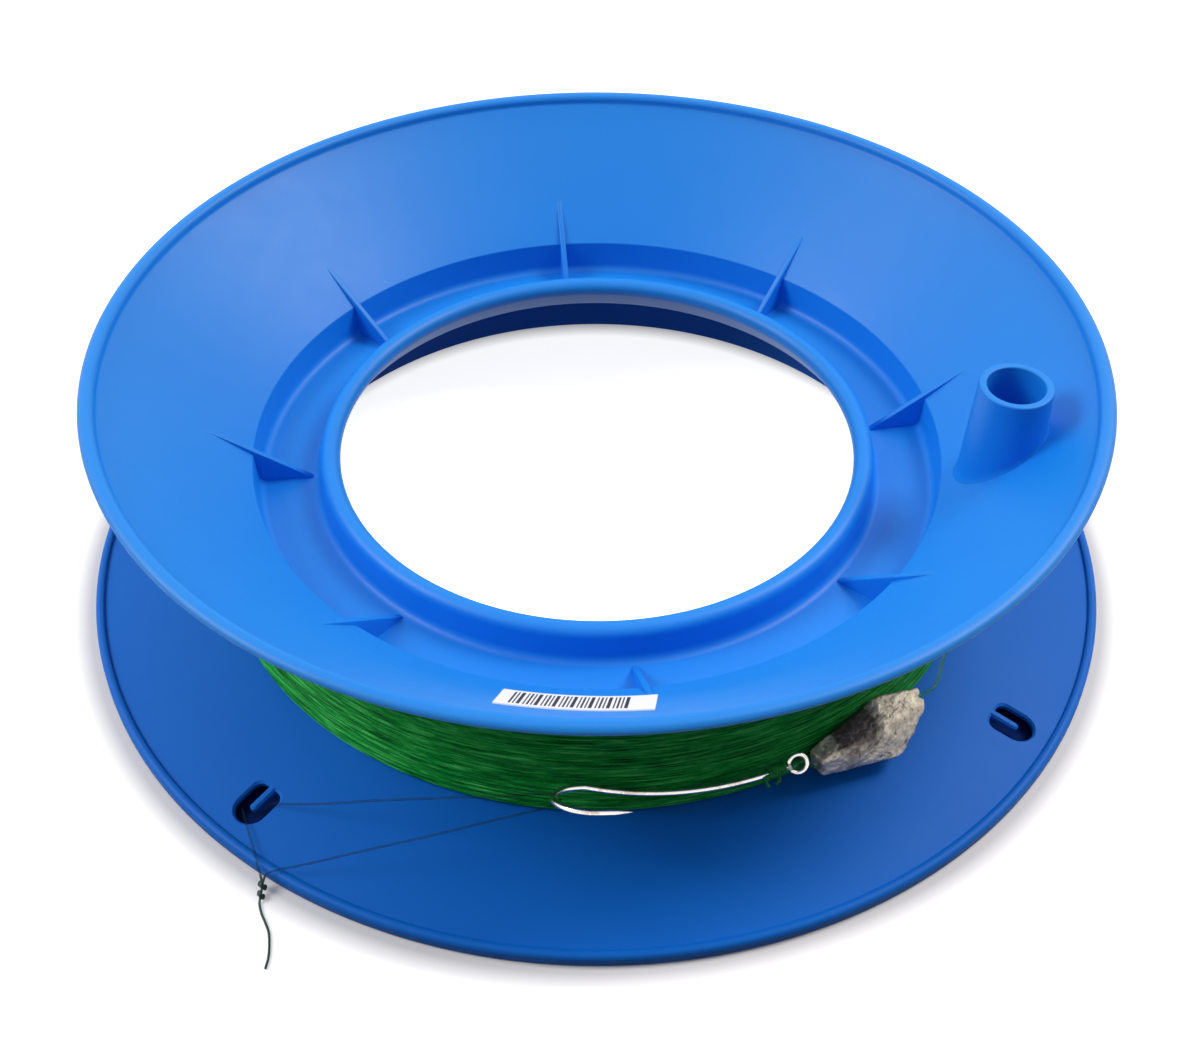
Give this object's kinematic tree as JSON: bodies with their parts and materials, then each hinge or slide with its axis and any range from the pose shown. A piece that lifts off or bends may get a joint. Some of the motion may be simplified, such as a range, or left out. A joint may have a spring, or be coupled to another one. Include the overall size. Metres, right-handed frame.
{
  "type": "fishing line spool",
  "caption": "Open hand-line spool with a flared casting flange and a flat base flange, wound with green line that ends in a cast sinker and a long-shank hook tethered to a slot.",
  "frame": {"origin": "on the spool's axis, in the plane that the base flange's rim stands on", "axes": "+Z along the spool's axis from the base flange to the casting flange, +X towards the side with the winding tube, -Y towards the hook and sinker"},
  "size_m": [0.2172, 0.2179, 0.0565],
  "materials": {
    "spool_blue": "semi-gloss injection moulded polypropylene",
    "green_line": "clear green nylon monofilament",
    "tether_line": "dark thin nylon monofilament",
    "hook_wire": "bright plated steel wire",
    "cast_lead": "rough cast lead, dull and mottled",
    "sticker": "matt white sticker printed with plain bars"
  },
  "bodies": {
    "spool": {"casting_flange": "spool_blue", "base_flange": "spool_blue", "line_core": "green_line", "line_winding": "green_line", "leader_line": "green_line", "tether_line": "tether_line", "tether_knot": "tether_line", "tether_tail": "tether_line", "label": "sticker"},
    "hook": {"hook": "hook_wire", "hook_knot": "green_line"},
    "sinker": {"sinker": "cast_lead"}
  },
  "joints": [
    {"name": "hook_swing", "type": "hinge", "parent": "spool", "child": "hook", "pos_m": [0.0372, -0.07445, 0.01383], "axis": [0, 0, 1], "range_deg": [0, 10], "deforming": ["tether_line"]},
    {"name": "sinker_slide", "type": "slide", "parent": "spool", "child": "sinker", "axis": [0.8098, 0.5765, 0.1091], "range_m": [0, 0.0025]}
  ]
}
